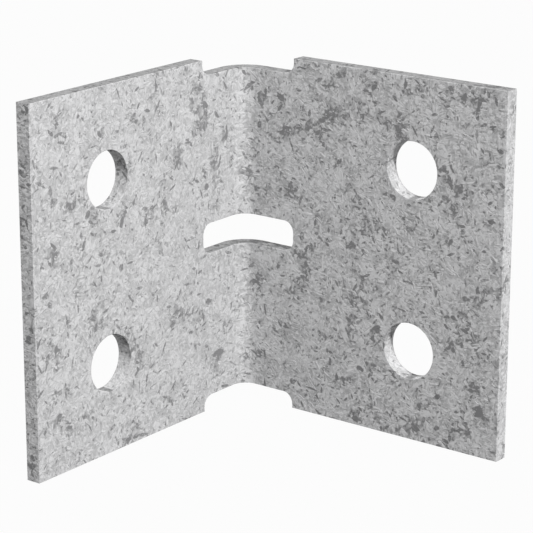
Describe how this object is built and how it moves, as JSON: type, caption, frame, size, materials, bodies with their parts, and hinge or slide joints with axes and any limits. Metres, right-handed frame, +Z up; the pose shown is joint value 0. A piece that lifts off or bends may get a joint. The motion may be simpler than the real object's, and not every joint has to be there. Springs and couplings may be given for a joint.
{
  "type": "angle bracket",
  "caption": "Equal-leg right-angle bracket folded from galvanised steel sheet, with round bolt holes in both legs, a relief slot across the fold and notched fold ends.",
  "frame": {"origin": "middle of the base of the bounding box, on the plane that the lower edges of both legs stand on", "axes": "+Z up along the fold; one leg runs along X with its outer face towards +Y, the other runs along Y with its outer face towards -X, so the inside corner opens towards +X and -Y"},
  "size_m": [0.0624, 0.0624, 0.07],
  "materials": {
    "galvanised_zinc": "dull spangled hot-dip zinc with small dark flakes"
  },
  "bodies": {
    "root": {"angle_bracket": "galvanised_zinc"}
  },
  "joints": []
}
